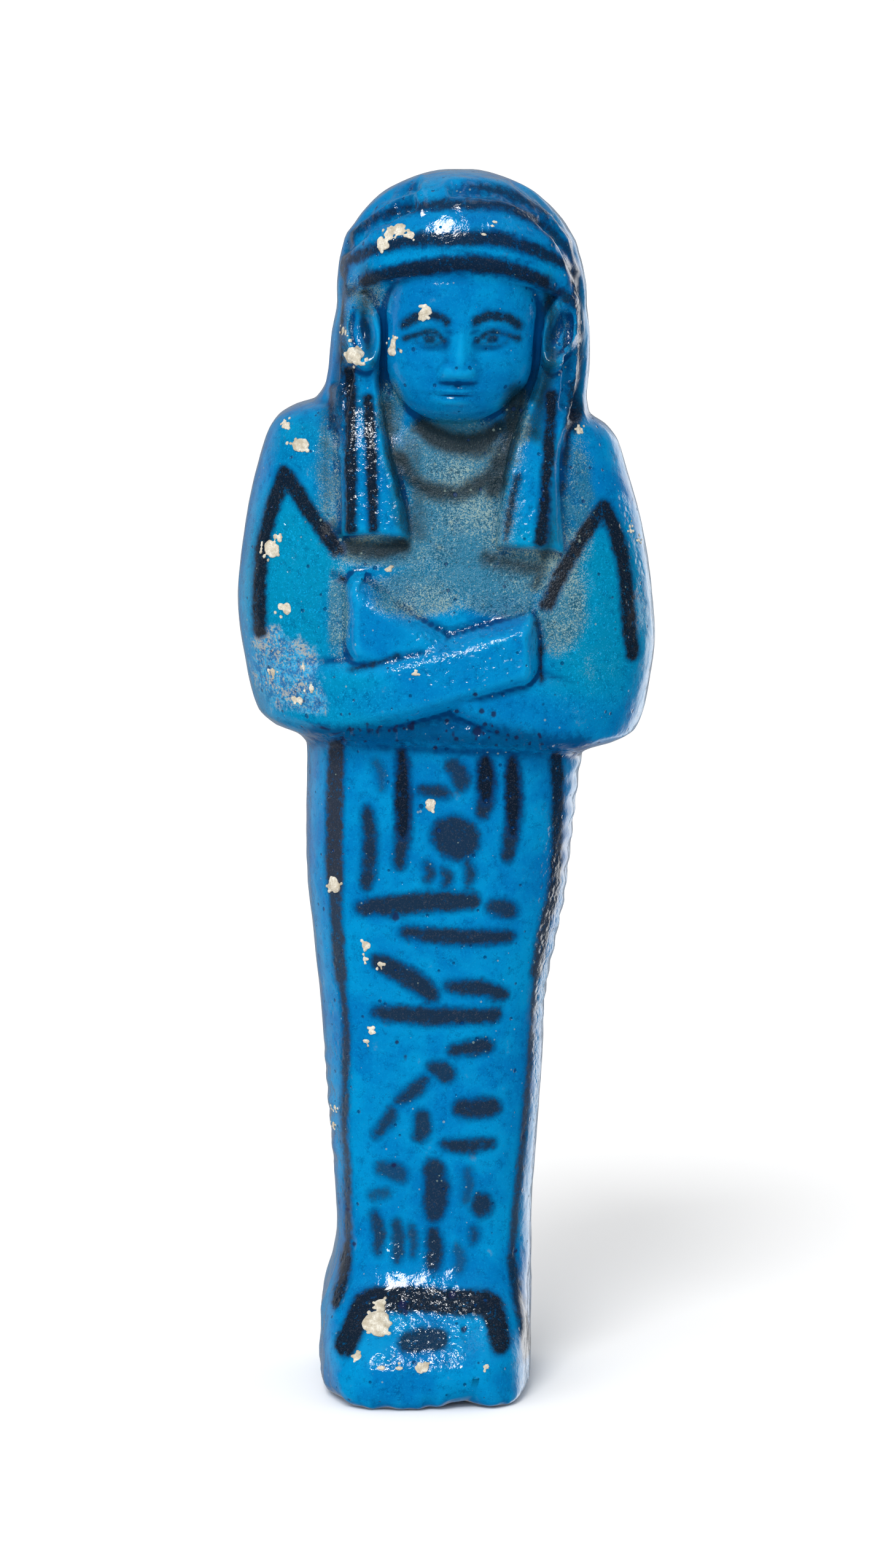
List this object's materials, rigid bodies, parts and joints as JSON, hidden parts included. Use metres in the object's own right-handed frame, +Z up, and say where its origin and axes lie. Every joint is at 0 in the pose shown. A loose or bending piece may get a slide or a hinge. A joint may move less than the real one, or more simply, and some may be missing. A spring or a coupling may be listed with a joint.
{
  "type": "ushabti figurine",
  "caption": "Standing mummiform funerary figurine with a striped wig, crossed arms and a projecting foot block, in bright blue glaze with black painted details.",
  "frame": {"origin": "on the surface it stands on, under the middle of the bounding box", "axes": "+Z up from the sole to the crown, -Y the way the face looks, +X towards the figure's own left hand"},
  "size_m": [0.0392, 0.0256, 0.115],
  "materials": {
    "glazed_faience": "glossy turquoise-blue glaze with black paint under it, pooled under the arms and worn sandy in the hollows"
  },
  "bodies": {
    "root": {"ushabti_figurine": "glazed_faience"}
  },
  "joints": []
}
